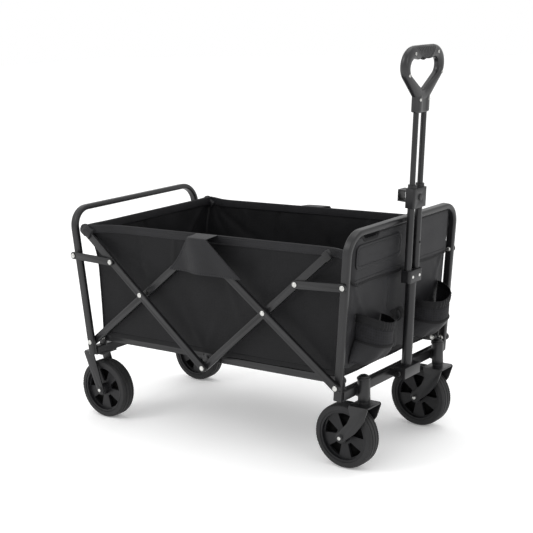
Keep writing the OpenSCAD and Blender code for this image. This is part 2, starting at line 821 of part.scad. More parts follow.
front_frame_tube();
front_crossbar();
caster_sleeves();
sleeve_caps();
handle_pivot_bolt();
front_frame_rivets();
front_fork(-1);  // front_fork_right
front_fork(1);  // front_fork_left
caster_stem(-1);  // caster_stem_right
caster_stem(1);  // caster_stem_left
front_axle(-1);  // front_axle_right
front_axle(1);  // front_axle_left
rim(caster_x - trail, -caster_y);  // rim_front_right
rim(caster_x - trail, caster_y);  // rim_front_left
rim(rear_axle_x, -rear_wheel_y);  // rim_rear_right
rim(rear_axle_x, rear_wheel_y);  // rim_rear_left
tyre(caster_x - trail, -caster_y);  // tyre_front_right
tyre(caster_x - trail, caster_y);  // tyre_front_left
tyre(rear_axle_x, -rear_wheel_y);  // tyre_rear_right
tyre(rear_axle_x, rear_wheel_y);  // tyre_rear_left
rear_frame_tube();
rear_crossbar();
rear_forks();
rear_axles();
rear_frame_rivets();
front_outer_bars();
front_inner_bars();
rear_inner_bars();
rear_outer_bars();
front_bar_caps();
rear_bar_caps();
front_cross_rivets();
bottom_hinge_rivets();
rear_cross_rivets();
front_links();
rear_links();
front_link_rivets();
rear_link_rivets();
front_rails();
rear_rails();
rail_hinge_plates();
handle_yoke();
handle_lower_tube();
collar_clamp();
collar_rivets();
handle_outer_tubes();
latch_block();
latch_spring();
latch_button();
handle_inner_tubes();
grip_half(1);  // grip_front_shell
grip_half(-1);  // grip_rear_shell
grip_screws();
tub_floor();
tub_side_walls();
tub_rear_wall();
tub_front_wall();
cup_pockets();
hinge_flaps();
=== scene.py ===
# %% [markdown]
# # A folding beach cart
# The cart is a folding wagon: two end frames of black flat-oval tube, joined on each side by crossed
# flat bars, carry a sewn polyester tub over four broad plastic wheels. The metal and most moulded parts
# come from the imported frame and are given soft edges. The tyres, the grip and everything sewn are built
# here as curved surfaces.

# %% Load the frame
import json
import bmesh
import bpy
import numpy as np
from mathutils import Matrix, Vector

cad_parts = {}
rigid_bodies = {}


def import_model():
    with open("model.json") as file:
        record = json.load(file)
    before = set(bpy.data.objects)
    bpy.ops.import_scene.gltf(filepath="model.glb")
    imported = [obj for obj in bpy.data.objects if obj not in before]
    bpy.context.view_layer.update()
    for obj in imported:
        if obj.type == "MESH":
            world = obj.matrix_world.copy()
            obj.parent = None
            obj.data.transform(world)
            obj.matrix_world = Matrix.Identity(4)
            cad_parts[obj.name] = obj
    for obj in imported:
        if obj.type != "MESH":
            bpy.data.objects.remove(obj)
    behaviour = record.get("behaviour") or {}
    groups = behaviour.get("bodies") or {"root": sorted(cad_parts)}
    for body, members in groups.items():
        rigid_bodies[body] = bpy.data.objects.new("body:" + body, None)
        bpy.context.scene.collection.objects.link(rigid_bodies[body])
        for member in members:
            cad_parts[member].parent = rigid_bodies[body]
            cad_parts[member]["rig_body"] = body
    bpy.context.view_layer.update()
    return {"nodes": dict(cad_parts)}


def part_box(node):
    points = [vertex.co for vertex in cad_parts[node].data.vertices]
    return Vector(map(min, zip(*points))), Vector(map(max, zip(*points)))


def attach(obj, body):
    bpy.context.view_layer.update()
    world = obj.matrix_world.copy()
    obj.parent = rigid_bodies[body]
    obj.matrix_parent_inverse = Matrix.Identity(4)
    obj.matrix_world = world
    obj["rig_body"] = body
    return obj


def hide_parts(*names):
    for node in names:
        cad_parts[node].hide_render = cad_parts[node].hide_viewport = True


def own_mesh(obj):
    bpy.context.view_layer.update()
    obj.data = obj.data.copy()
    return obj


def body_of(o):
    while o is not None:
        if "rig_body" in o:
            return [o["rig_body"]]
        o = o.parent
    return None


for old in list(bpy.data.objects):
    bpy.data.objects.remove(old, do_unlink=True)
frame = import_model()
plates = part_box("rail_hinge_plates")
MID_X = (plates[0][0] + plates[1][0]) / 2
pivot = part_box("handle_pivot_bolt")
HANDLE = ((pivot[0][0] + pivot[1][0]) / 2, (pivot[0][2] + pivot[1][2]) / 2)
# The front frame and the pull handle both lean forwards a little.
LEAN = np.radians(5.8)
TILT = np.radians(4.3)
print("cart middle at x =", round(MID_X, 4), "m; handle pivot at", [round(v, 4) for v in HANDLE])

# %% [markdown]
# ## Camera
# A long lens from the right front corner, a little above the tub's rim. The camera could be aimed with a
# constraint; here its own axes are worked out from an azimuth and an elevation, because that also lets
# it roll a touch, as a hand-held one does.

# %% Camera
AZIMUTH, ELEVATION, ROLL = np.radians([37.0, 12.1, -2.2])
AIM = np.array([-0.0040, 0.0226, 0.4612])
DISTANCE = 3.5737
back = np.array([np.sin(AZIMUTH) * np.cos(ELEVATION), -np.cos(AZIMUTH) * np.cos(ELEVATION),
                 np.sin(ELEVATION)])
right = np.cross(-back, [0, 0, 1])
right /= np.linalg.norm(right)
up = np.cross(right, -back)
rolled = (right * np.cos(ROLL) + up * np.sin(ROLL), up * np.cos(ROLL) - right * np.sin(ROLL))
camera = bpy.data.objects.new("camera", bpy.data.cameras.new("camera"))
bpy.context.scene.collection.objects.link(camera)
pose = np.eye(4)
pose[:3, 0], pose[:3, 1], pose[:3, 2], pose[:3, 3] = *rolled, back, AIM + back * DISTANCE
camera.matrix_world = Matrix(pose.tolist())
camera.data.lens = 82.98
camera.data.sensor_width = 36
camera.data.shift_x = -0.0058
bpy.context.scene.camera = camera
print("camera at", np.round(pose[:3, 3], 3))

# %% [markdown]
# ## Materials
# Every surface of the cart is black or near black, so what tells steel from cloth is the gloss and the
# grain. Each finish could be a flat colour, but then nothing would catch the light. Here it is a
# Principled shader with a colour and a roughness that drift a little, and a bump at the size of the
# grain. Colours are given as sRGB and turned to linear once.

# %% Colour and node helpers
def linear(code):
    """sRGB hex to linear: c/12.92 below 0.04045, else ((c + 0.055) / 1.055) to the power 2.4."""
    c = np.array([int(code[i:i + 2], 16) for i in (0, 2, 4)]) / 255
    return (*np.where(c <= 0.04045, c / 12.92, ((c + 0.055) / 1.055) ** 2.4).tolist(), 1.0)


def add(tree, kind, inputs=None, **settings):
    """Adds one shader node; inputs are socket values or the sockets that feed them."""
    made = tree.nodes.new("ShaderNode" + kind)
    for name, value in settings.items():
        setattr(made, name, value)
    for name, value in (inputs or {}).items():
        if isinstance(value, bpy.types.NodeSocket):
            tree.links.new(value, made.inputs[name])
        else:
            made.inputs[name].default_value = value
    return made


THREAD_RELIEF, THREAD_TONE = 0.75, 0.35  # how much the weave adds to a cloth's bump and to its colour
ROUGH_DRIFT = 0.06


def finish_of(name, dark, light, rough, drift_mm, grain_mm, bump, weave_mm=0, worn=None, **shader):
    """A procedural finish: colour and roughness drift over drift_mm, the surface has grain of grain_mm
    with a bump of that many millimetres, and cloth gets crossed threads weave_mm apart on its UV map.
    A wave texture of scale 1 repeats every 314.16 mm. worn is the colour of small rubbed spots."""
    material = bpy.data.materials.new(name)
    material.use_nodes = True
    tree = material.node_tree
    base = tree.nodes["Principled BSDF"]
    for socket, value in shader.items():
        base.inputs[socket.replace("_", " ")].default_value = value
    place = add(tree, "TexCoord")
    where = place.outputs["UV" if weave_mm else "Object"]
    drift = add(tree, "TexNoise", {"Vector": where, "Scale": 1000 / drift_mm, "Detail": 4.0})
    grain = add(tree, "TexNoise", {"Vector": where, "Scale": 1000 / grain_mm, "Detail": 3.0})
    height = grain.outputs["Fac"]
    tone = drift.outputs["Fac"]
    if weave_mm:
        threads = [add(tree, "TexWave", {"Vector": where, "Scale": 314.16 / weave_mm,
                                         "Distortion": 0.35, "Detail": 1.0, "Detail Scale": 2.0},
                       bands_direction=axis).outputs["Fac"] for axis in "XY"]
        cross = add(tree, "Math", {0: threads[0], 1: threads[1]}, operation="MAXIMUM")
        height, tone = [add(tree, "Math", {0: cross.outputs[0], 1: share, 2: under},
                            operation="MULTIPLY_ADD").outputs[0]
                        for share, under in ((THREAD_RELIEF, height), (THREAD_TONE, tone))]
    ramp = add(tree, "MapRange", {"Value": tone, "From Min": 0.3, "From Max": 1.05 if weave_mm else 0.75})
    tint = add(tree, "Mix", {"Factor": ramp.outputs[0], "A": linear(dark), "B": linear(light)},
               data_type="RGBA").outputs["Result"]
    if worn:
        rub = add(tree, "TexNoise", {"Vector": place.outputs["Object"], "Scale": 160.0, "Detail": 6.0,
                                     "Roughness": 0.7})
        spots = add(tree, "MapRange", {"Value": rub.outputs["Fac"], "From Min": 0.66, "From Max": 0.74,
                                       "To Max": 0.35})
        tint = add(tree, "Mix", {"Factor": spots.outputs[0], "A": tint, "B": linear(worn)},
                   data_type="RGBA").outputs["Result"]
    tree.links.new(tint, base.inputs["Base Color"])
    polish = add(tree, "MapRange", {"Value": drift.outputs["Fac"], "To Min": rough - ROUGH_DRIFT,
                                    "To Max": rough + ROUGH_DRIFT})
    tree.links.new(polish.outputs[0], base.inputs["Roughness"])
    relief = add(tree, "Bump", {"Strength": 1.0, "Distance": bump / 1000, "Height": height})
    tree.links.new(relief.outputs[0], base.inputs["Normal"])
    return material


# %% [markdown]
# The steel is powder coated: baked dry paint with a faint orange peel, so highlights are broad and soft.
# Its real peel is about 1 mm across and is drawn at 5 mm so that it shows. Rivets, screws and axle nuts
# are zinc plated and bright. The moulded parts are polypropylene and ABS with a fine spark grain. The
# tub is coated polyester oxford with a low sheen: its 0.5 mm plain weave is drawn at 5 mm, and the
# pockets' 3 mm net at 7 mm, so that they show. The wheel's web is the wheel's own plastic, unpolished
# and deep between the spokes, so it is more matt; its darker colour is painted shade, because little
# light reaches it there.

# %% The cart's finishes
STEEL = finish_of("powder_coated_steel", "131314", "1c1c1e", 0.36, 90, 5, 0.05, worn="39393b",
                  Specular_IOR_Level=0.42)
ZINC = finish_of("zinc_plated_steel", "b9b9b6", "d8d8d5", 0.30, 12, 2, 0.02, Metallic=1.0)
PLASTIC = finish_of("moulded_polypropylene", "121213", "1b1b1d", 0.42, 60, 1.6, 0.03,
                    Specular_IOR_Level=0.36)
GRIP = finish_of("grained_abs", "18181a", "222224", 0.34, 50, 1.2, 0.03, worn="38383a")
WHEEL = finish_of("wheel_polypropylene", "101012", "19191b", 0.42, 70, 2, 0.03, Specular_IOR_Level=0.30)
TYRE = finish_of("soft_tread_rubber", "19191a", "242425", 0.62, 40, 1.5, 0.06, worn="38383a",
                 Specular_IOR_Level=0.34)
CLOTH = finish_of("polyester_oxford", "08080a", "141416", 0.62, 45, 1.2, 0.20, weave_mm=5,
                  Sheen_Weight=0.03, Sheen_Roughness=0.4, Specular_IOR_Level=0.20)
PANEL = finish_of("coated_polyester_panel", "0d0d0f", "1c1c1f", 0.58, 38, 1.2, 0.22, weave_mm=5,
                  Sheen_Weight=0.04, Sheen_Roughness=0.4, Specular_IOR_Level=0.28)
TAPE = finish_of("grosgrain_binding", "070708", "101012", 0.62, 30, 1, 0.15, weave_mm=4,
                 Specular_IOR_Level=0.2)
NET = finish_of("elastic_net", "060607", "1e1e21", 0.7, 20, 1, 0.4, weave_mm=7, Specular_IOR_Level=0.2)
# Painted shade: the web's colour is near black because it sits deep in the wheel, where little light falls.
WEB_SHADE = finish_of("shaded_wheel_web", "030303", "060606", 0.75, 30, 2, 0.02, Specular_IOR_Level=0.08)
THREAD = finish_of("bonded_nylon_thread", "1a1a1c", "28282b", 0.5, 6, 0.5, 0.02, Specular_IOR_Level=0.3)
print(len(bpy.data.materials), "finishes")

# %% [markdown]
# ## Metal and moulded parts
# A pressed or moulded edge is never knife sharp: its thin highlight is what shows where a black bar
# ends. Each hard node is copied, its loose triangles are merged and its flat faces joined, and a small
# bevel rounds the edges that turn more than 32 degrees. A subdivision would round them too, but it
# would also pull the holes and the long flat bars out of shape.

# %% A helper that makes a piece final
def settle(obj, body, finish, nodes=(), modifiers=()):
    """Applies the modifiers (kind, settings) to the mesh, gives the finish, and rides obj on body."""
    bpy.context.scene.collection.objects.link(obj)
    for kind, settings in modifiers:
        modifier = obj.modifiers.new(kind.lower(), kind)
        for name, value in settings.items():
            setattr(modifier, name, value)
    if modifiers:
        evaluated = obj.evaluated_get(bpy.context.evaluated_depsgraph_get())
        final = bpy.data.meshes.new_from_object(evaluated)
        obj.modifiers.clear()
        obj.data = final
    obj.data.materials.clear()
    obj.data.materials.append(finish)
    obj.data.name = obj.name
    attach(obj, body)
    if nodes:
        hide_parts(*nodes)
    return obj


SHARP = np.radians(32)


def softened(node, finish, radius_mm):
    """A copy of a hard node with edges rounded to radius_mm and smooth curved faces."""
    source = frame["nodes"][node]
    shape = bmesh.new()
    shape.from_mesh(source.data)
    bmesh.ops.remove_doubles(shape, verts=shape.verts, dist=1e-5)
    bmesh.ops.dissolve_limit(shape, angle_limit=np.radians(0.6), verts=shape.verts, edges=shape.edges)
    mesh = bpy.data.meshes.new(node + "_soft")
    shape.to_mesh(mesh)
    shape.free()
    mesh.shade_smooth()
    obj = bpy.data.objects.new(node + "_soft", mesh)
    bevel = ("BEVEL", dict(width=radius_mm / 1000, segments=2, limit_method="ANGLE",
                           angle_limit=SHARP, harden_normals=True))
    return settle(obj, body_of(source)[0], finish, [node], [bevel])


# %% Soften every hard node
# Each node's edge radius is in millimetres.
HARD = {
    STEEL: dict(front_frame_tube=0.4, rear_frame_tube=0.4, front_crossbar=1.0, rear_crossbar=1.0,
                rear_forks=0.9, front_fork_right=0.9, front_fork_left=0.9, front_outer_bars=1.4,
                front_inner_bars=1.4, rear_inner_bars=1.4, rear_outer_bars=1.4, front_links=1.0,
                rear_links=1.0, front_rails=1.4, rear_rails=1.4, rail_hinge_plates=0.7,
                handle_yoke=1.0, caster_sleeves=0.8, handle_pivot_bolt=0.6,
                rear_axles=0.6, front_axle_right=0.6, front_axle_left=0.6),
    PLASTIC: dict(sleeve_caps=0.8, front_bar_caps=1.2, rear_bar_caps=1.2, collar_clamp=1.6,
                  latch_block=1.2, latch_button=0.6),
    ZINC: dict(front_frame_rivets=0.5, rear_frame_rivets=0.5, front_cross_rivets=0.5,
               rear_cross_rivets=0.5, bottom_hinge_rivets=0.5, front_link_rivets=0.5,
               rear_link_rivets=0.5, collar_rivets=0.4),
    WHEEL: dict(rim_front_right=1.0, rim_front_left=1.0, rim_rear_right=1.0, rim_rear_left=1.0),
}
for finish, nodes in HARD.items():
    for node, radius in nodes.items():
        softened(node, finish, radius)
# Round tubes, stems, screws and the spring have no edge worth rounding and keep their own mesh.
PAINT = dict(handle_lower_tube=STEEL, handle_outer_tubes=STEEL, handle_inner_tubes=STEEL, grip_screws=ZINC,
             latch_spring=ZINC, caster_stem_right=STEEL, caster_stem_left=STEEL)
for node, finish in PAINT.items():
    frame["nodes"][node].data.materials.clear()
    frame["nodes"][node].data.materials.append(finish)
print(sum(len(n) for n in HARD.values()), "softened nodes,", len(PAINT), "painted nodes")

# %% [markdown]
# ## Surfaces from arrays
# Cloth, tyres and the grip have no flat faces, so they aren't built from blocks. Each is a grid of
# points worked out at once: rows run one way over the surface and columns the other. The UV map is the
# distance run in metres, so a weave keeps its size everywhere.

# %% Grid and path helpers
def grid_mesh(name, points, wrap_rows=False, wrap_cols=False, caps=False):
    """Quads over points (rows, cols, 3); UV = metres run along each way; caps close the end rows."""
    rows, cols = points.shape[:2]
    index = np.arange(rows * cols).reshape(rows, cols)
    index = np.pad(index, ((0, int(wrap_rows)), (0, int(wrap_cols))), mode="wrap")
    full = points.reshape(-1, 3)[index]
    steps = [np.linalg.norm(np.diff(full, axis=axis), axis=2).mean(1 - axis) for axis in (0, 1)]
    flat = np.stack(np.meshgrid(*[np.append(0, np.cumsum(step)) for step in steps], indexing="ij"), -1)
    corners = lambda a: np.stack([a[:-1, :-1], a[1:, :-1], a[1:, 1:], a[:-1, 1:]], 2)
    quads = corners(index).reshape(-1, 4)
    faces = quads.tolist()
    if caps:
        faces += [index[0, :cols].tolist()[::-1], index[-1, :cols].tolist()]
    mesh = bpy.data.meshes.new(name)
    mesh.from_pydata(points.reshape(-1, 3), [], faces)
    uv = np.zeros((len(mesh.loops), 2))
    uv[:quads.size] = corners(flat).reshape(-1, 2)
    mesh.uv_layers.new(name="UVMap").data.foreach_set("uv", uv.ravel())
    mesh.shade_smooth()
    if (wrap_rows and wrap_cols) or caps:
        shape = bmesh.new()
        shape.from_mesh(mesh)
        bmesh.ops.recalc_face_normals(shape, faces=shape.faces)
        shape.to_mesh(mesh)
        shape.free()
    return bpy.data.objects.new(name, mesh)


def at(x, y, z):
    """Stacks coordinates given from the cart's middle into points of the row frame."""
    return np.stack(np.broadcast_arrays(np.asarray(x) + MID_X, y, z), -1).astype(float)


def unit(v):
    """Each vector divided by its own length."""
    return v / np.maximum(np.linalg.norm(v, axis=-1, keepdims=True), 1e-9)


def carry(path, out, section):
    """A section (across, outward) carried along a path: point + across * side + outward * out,
    where out is first made square to the path and side is the path's direction crossed with out."""
    ahead = unit(np.gradient(path, axis=0))
    out = unit(out - ahead * np.sum(ahead * out, -1, keepdims=True))
    side = np.cross(ahead, out)
    return path[:, None] + section[None, :, :1] * side[:, None] + section[None, :, 1:] * out[:, None]


def round_section(half_width, half_depth, power=1.0, count=16):
    """An ellipse of count points, squarer as power falls below 1."""
    turn = np.linspace(0, 2 * np.pi, count, endpoint=False)
    shape = lambda c: np.sign(c) * np.abs(c) ** power
    return np.stack([half_width * shape(np.cos(turn)), half_depth * shape(np.sin(turn))], -1)


def resample(path, step):
    """Points a step apart along a path; columns after the first three are carried along."""
    run = np.concatenate([[0], np.cumsum(np.linalg.norm(np.diff(path[:, :3], axis=0), axis=1))])
    count = max(3, int(run[-1] / step) + 1)
    wanted = np.linspace(0, run[-1], count)
    return np.stack([np.interp(wanted, run, column) for column in path.T], -1)


# %% [markdown]
# Seams show as rows of short raised threads. A dashed line in the material would be cheaper, but it
# would not be part of the shape, so each stitch is a small bead of a few dozen faces.

# %% Stitches
RINGS, SPOKES = 5, 6


def stitches(name, paths, outs, body, pitch=0.0075, length=0.005, fat=0.0009):
    """Small thread beads a pitch apart along each path: an ellipsoid of length by twice fat, turned to
    the path."""
    ring, turn = np.meshgrid(np.linspace(0, np.pi, RINGS), np.linspace(0, 2 * np.pi, SPOKES, endpoint=False),
                             indexing="ij")
    bead = np.stack([np.cos(ring) * length / 2, np.sin(ring) * np.cos(turn) * fat,
                     np.sin(ring) * np.sin(turn) * fat * 0.8], -1).reshape(-1, 3)
    index = np.arange(len(bead)).reshape(RINGS, SPOKES)
    nxt = np.roll(index, -1, 1)
    quads = np.stack([index[:-1], nxt[:-1], nxt[1:], index[1:]], 2).reshape(-1, 4)
    points, faces, used = [], [], 0
    for path, out in zip(paths, outs):
        both = resample(np.concatenate([path, np.broadcast_to(out, path.shape)], 1), pitch)
        middle, out = both[:, :3], unit(both[:, 3:])
        ahead = unit(np.gradient(middle, axis=0))
        side = np.cross(ahead, out)
        place = (middle[:, None] + bead[None, :, :1] * ahead[:, None] + bead[None, :, 1:2] * side[:, None]
                 + bead[None, :, 2:] * out[:, None])
        points.append(place.reshape(-1, 3))
        faces.append((quads[None] + len(bead) * np.arange(len(middle))[:, None, None]).reshape(-1, 4) + used)
        used += len(bead) * len(middle)
    mesh = bpy.data.meshes.new(name)
    mesh.from_pydata(np.concatenate(points), [], np.concatenate(faces).tolist())
    shape = bmesh.new()
    shape.from_mesh(mesh)
    bmesh.ops.remove_doubles(shape, verts=shape.verts, dist=1e-6)
    bmesh.ops.recalc_face_normals(shape, faces=shape.faces)
    shape.to_mesh(mesh)
    shape.free()
    mesh.shade_smooth()
    return settle(bpy.data.objects.new(name, mesh), body, THREAD)


# %% [markdown]
# Cloth that is held at its edges is never flat. It could be draped by simulation, but a stretched wall
# barely moves, so its folds are added as heights: bells that run from where it is held, and slow waves.

# %% Folds and unevenness
def creases(u, v, lines):
    """Height of soft folds. Each line (u0, v0, degrees, length, width, height) is a bell across its
    line, rises from its start and fades at its length."""
    total = np.zeros(np.broadcast(u, v).shape)
    for u0, v0, degrees, length, width, height in lines:
        c, s = np.cos(np.radians(degrees)), np.sin(np.radians(degrees))
        along, across = ((u - u0) * c + (v - v0) * s) / length, -(u - u0) * s + (v - v0) * c
        fade = np.clip(along * 4 + 0.2, 0, 1) * np.clip(1.2 - along, 0, 1)
        total += height * np.exp(-(across / (width * (0.6 + 0.8 * np.clip(along, 0, 1)))) ** 2) * fade
    return total


def bumps(u, v, seed, size, height):
    """Slow uneven cloth: six sine waves of about that size, with seeded directions and phases."""
    rng = np.random.default_rng(seed)
    total = np.zeros(np.broadcast(u, v).shape)
    draws = rng.uniform(0, np.pi, 6), rng.uniform(0, 6.28, 6), rng.uniform(0.7, 1.6, 6)
    for turn, phase, scale in zip(*draws):
        total += np.sin(6.283 * (u * np.cos(turn) + v * np.sin(turn)) / (size * scale) + phase)
    return total * height / 3


def thick(depth):
    """The modifier that gives a cloth sheet its thickness, half to each side."""
    return [("SOLIDIFY", dict(thickness=depth, offset=0))]


def strip_of(name, path, out, section, body, finish):
    """A closed strip or cord: a section carried along a path, with its ends capped."""
    made = grid_mesh(name, carry(path, np.array(out, float), section), wrap_cols=True, caps=True)
    return settle(made, body, finish)


# %% [markdown]
# ## The tub
# The side walls hang from the upper ends of the crossed bars and run down to the floor. They are taut
# at the hem and softer below, with folds that run from the corners where the cloth is held. A wall
# could be a flat plate with a bump in its material, but then its edge and its folded shape would stay
# straight, so every fold is in the mesh.

# %% Side walls
# x is from the cart's middle, forwards; the front edges lean with the frame from the height PIVOT_Z.
REAR_X, FLOOR_Z, HEM_Z, HALF_Y = -0.410, 0.2665, 0.600, 0.2472
PIVOT_Z, WALL_X, PANEL_X = 0.246, 0.4337, 0.4395
SLACK = 0.0038
FLOOR_SAG = 0.006


def lean_x(z):
    """Where the side walls end at the front, at height z."""
    return WALL_X + (z - PIVOT_Z) * np.tan(LEAN)


# Each fold is where it starts (x, z), its direction in degrees, its length, half width and height.
FOLDS = [(-0.41, 0.60, -52, 0.30, 0.012, 0.0040), (-0.41, 0.60, -30, 0.36, 0.014, 0.0032),
         (0.46, 0.60, 222, 0.32, 0.013, 0.0036), (0.46, 0.60, 206, 0.26, 0.011, 0.0026),
         (-0.11, 0.60, -96, 0.13, 0.009, 0.0030), (0.06, 0.52, -70, 0.20, 0.014, 0.0026),
         (-0.02, 0.27, 118, 0.20, 0.016, 0.0030), (-0.02, 0.27, 62, 0.22, 0.016, 0.0028),
         (-0.40, 0.27, 40, 0.24, 0.014, 0.0030), (0.43, 0.27, 140, 0.24, 0.014, 0.0030),
         (-0.25, 0.60, -84, 0.20, 0.012, -0.0028), (0.22, 0.60, -97, 0.22, 0.012, -0.0026)]


def wall_out(x, z):
    """How far the side wall stands out: slow bumps and creases, held within the bars beside it,
    plus the corners drawn out to the bar ends."""
    soft = bumps(x, z, 4, 0.16, 0.0016) + creases(x, z, FOLDS)
    soft = SLACK * np.tanh(soft / SLACK) * np.clip((HEM_Z + 0.012 - z) / 0.05, 0.25, 1)
    rear = 0.0300 * np.exp(-((x - REAR_X) / 0.055) ** 2 - ((z - HEM_Z) / 0.075) ** 2)
    front = 0.0165 * np.exp(-((x - lean_x(z)) / 0.040) ** 2 - ((z - HEM_Z) / 0.055) ** 2)
    return soft + rear + front


def side_wall(side):
    """u runs from the rear edge to the leaning front edge and v from the floor to the hem."""
    u, v = np.meshgrid(np.linspace(0, 1, 221), np.linspace(0, 1, 91), indexing="ij")
    z = FLOOR_Z + FLOOR_SAG * np.sin(np.pi * u) * (1 - v) + v * (HEM_Z - FLOOR_Z)
    x = REAR_X + u * (lean_x(z) - 0.0015 - REAR_X)
    x = x + (1 - u) * bumps(z, 0, 9, 0.09, 0.0016)
    return at(x, side * (HALF_Y + wall_out(x, z)), z)


TUB_PIECES = []
for side, name in ((-1, "right"), (1, "left")):
    cloth = grid_mesh("side_wall_" + name, side_wall(side))
    nodes = ["tub_side_walls"] if side < 0 else []
    settle(cloth, "tub", CLOTH, nodes, thick(0.0016))
    TUB_PIECES.append(cloth)
print("side wall", [round(d, 3) for d in cloth.dimensions])

# %% [markdown]
# The rear wall is drawn out at its top corners to the bar ends. The floor is a stiff board in a cloth
# sleeve, sewn across at three places so that it folds; each seam is a low ridge.

# %% Rear wall and floor
y, v = np.meshgrid(np.linspace(-1, 1, 121), np.linspace(0, 1, 81), indexing="ij")
z = FLOOR_Z + v * (0.604 - FLOOR_Z)
corner = np.exp(-((1 - np.abs(y)) / 0.12) ** 2 - ((z - HEM_Z) / 0.075) ** 2)
x = REAR_X + 0.0005 + bumps(y * 0.25, z, 12, 0.15, 0.0022) * (1 - v ** 6) + creases(
    y * 0.247, z, [(-0.247, 0.6, -50, 0.3, 0.014, 0.004), (0.247, 0.6, 230, 0.3, 0.014, 0.004),
                   (-0.05, 0.6, -80, 0.22, 0.013, -0.003), (0.10, 0.27, 100, 0.2, 0.014, 0.003)])
rear_wall = grid_mesh("rear_wall", at(x - 0.006 * corner, y * (HALF_Y + 0.0300 * corner), z))
settle(rear_wall, "tub", CLOTH, ["tub_rear_wall"], thick(0.0016))
u, y = np.meshgrid(np.linspace(0, 1, 161), np.linspace(-1, 1, 81), indexing="ij")
x = REAR_X + u * (0.4345 - REAR_X)
seams = sum(0.0022 * np.exp(-((x - place) / 0.006) ** 2) for place in (-0.205, 0.0, 0.215))
z = 0.2652 + seams + 0.0008 * np.sin(x * 40) * np.cos(y * 9)
tub_floor = grid_mesh("tub_floor_cloth", at(x, y * (HALF_Y - 0.001), z))
settle(tub_floor, "tub", CLOTH, ["tub_floor"], thick(0.0022))
TUB_PIECES += [rear_wall, tub_floor]

# %% [markdown]
# ## Hem, binding and seams
# The rim is a doubled hem 22 mm deep that wraps over the wall's edge, stitched twice. It could be
# three strips, one a wall, but it is sewn in one round the back and both sides, so it is one here and
# turns its corners without a gap. A narrow tape binds the lower edge.

# %% Hem round the rim
def rim_path(z):
    """Right wall from front to rear, across the back, left wall from rear to front, at height z."""
    x = np.linspace(lean_x(z) - 0.002, REAR_X, 240)
    y = np.linspace(-1, 1, 120)[1:-1]
    drawn = HALF_Y + wall_out(x, z)
    return np.concatenate([at(x, -drawn, z), at(REAR_X, y * drawn[-1], z), at(x[::-1], drawn[::-1], z)])


def rim_out(path):
    """Outward direction along the rim: the path's direction turned a quarter."""
    ahead = unit(np.gradient(path, axis=0))
    return np.cross([0.0, 0.0, 1.0], ahead)


def strip_section(drop, fat):
    """A flattened loop that straddles the cloth's edge: drop deep, fat each side, rounded over."""
    t = np.linspace(0, 1, 9)
    outer = np.stack([-drop + drop * t, fat + 0.0004 * np.sin(np.pi * t)], -1)
    bend = np.linspace(0.2, np.pi - 0.2, 7)
    over = np.stack([fat * np.sin(bend), fat * np.cos(bend)], -1)
    return np.concatenate([outer, over, outer[::-1] * [1, -1]])


def tub_strip(name, z, drop, fat, finish):
    """A folded strip along the rim's path at height z; its section stays upright at the corners."""
    path = rim_path(z)
    out = rim_out(path)
    section = strip_section(drop, fat)
    points = path[:, None] + section[None, :, 1:] * out[:, None] + section[None, :, :1] * [0, 0, 1.0]
    strip = grid_mesh(name, points, wrap_cols=True, caps=True)
    TUB_PIECES.append(settle(strip, "tub", finish))
    return path, out


path, out = tub_strip("rim_hem", HEM_Z + 0.001, 0.022, 0.0024, PANEL)
tub_strip("lower_binding", FLOOR_Z + 0.011, 0.012, 0.0019, TAPE)
rows = [path + out * 0.0029 - [0, 0, drop] for drop in (0.004, 0.0185)]
TUB_PIECES.append(stitches("hem_stitches", rows, [out, out], "tub"))
print("hem of", len(path), "points")

# %% [markdown]
# Where two walls meet, their edges are sewn together under a narrow tape that stands out as a bead.

# %% Bound corner seams
for end, name in ((0, "rear"), (1, "front")):
    for side, hand in ((-1, "right"), (1, "left")):
        z = np.linspace(FLOOR_Z + 0.002, HEM_Z - 0.004, 61)
        x = REAR_X - 0.0004 if end == 0 else lean_x(z) - 0.0035
        path = at(x, side * (HALF_Y - 0.0008 + wall_out(x, z)), z)
        TUB_PIECES.append(strip_of(f"corner_seam_{name}_{hand}", path, [-1 if end == 0 else 1, side, 0],
                                   round_section(0.0052, 0.0026, 0.8, 12), "tub", TAPE))
print("four corner seams")

# %% [markdown]
# ## Flaps over the centre hinges
# A trapezoid flap hangs from the rim over the top hinge on each side, so that fingers stay out of it.
# It lies on the outer bar at the front and drops back towards the inner bar behind, so its rear part
# turns inwards. It is one curved sheet over both, because separate plates would show a joint.

# %% Hinge flaps
for side, name in ((-1, "right"), (1, "left")):
    u, v = np.meshgrid(np.linspace(0, 1, 71), np.linspace(0, 1, 81), indexing="ij")
    arc = v * 0.148
    down = np.clip(arc - 0.052, 0, None)
    x_left, x_right = -0.030 - 0.082 * down / 0.096, 0.044 + 0.112 * down / 0.096
    x = x_left + u * (x_right - x_left) + 0.0016 * np.sin(v * 9) * (u < 0.02)
    settle_in = 1 / (1 + np.exp((x + 0.048 - 0.02 * v) / 0.012))
    reach = 0.2962 - 0.0215 * settle_in
    y = 0.2480 + (reach - 0.2480) * np.clip(arc / 0.047, 0, 1)
    bend = np.clip((arc - 0.036) / 0.022, 0, 1)
    z = 0.6026 - 0.0030 * np.clip(arc / 0.047, 0, 1) - 0.0035 * bend ** 2 - down
    y = y + 0.0016 * np.sin(x * 55 + 1) * np.clip(down / 0.09, 0, 1) + 0.0012 * settle_in * np.sin(z * 90)
    flap = grid_mesh("hinge_flap_" + name, at(x, side * y, z))
    settle(flap, "tub", PANEL, ["hinge_flaps"] if side < 0 else [], thick(0.0017))
    TUB_PIECES.append(flap)
    edge = at(x, side * y, z)
    lines = [edge[2, 30:-2], edge[-3, 30:-2], edge[2:-2, -3]]
    TUB_PIECES.append(stitches("flap_stitches_" + name, [line + [0, side * 0.0012, 0] for line in lines],
                               [[0, side, 0.0]] * 3, "tub"))

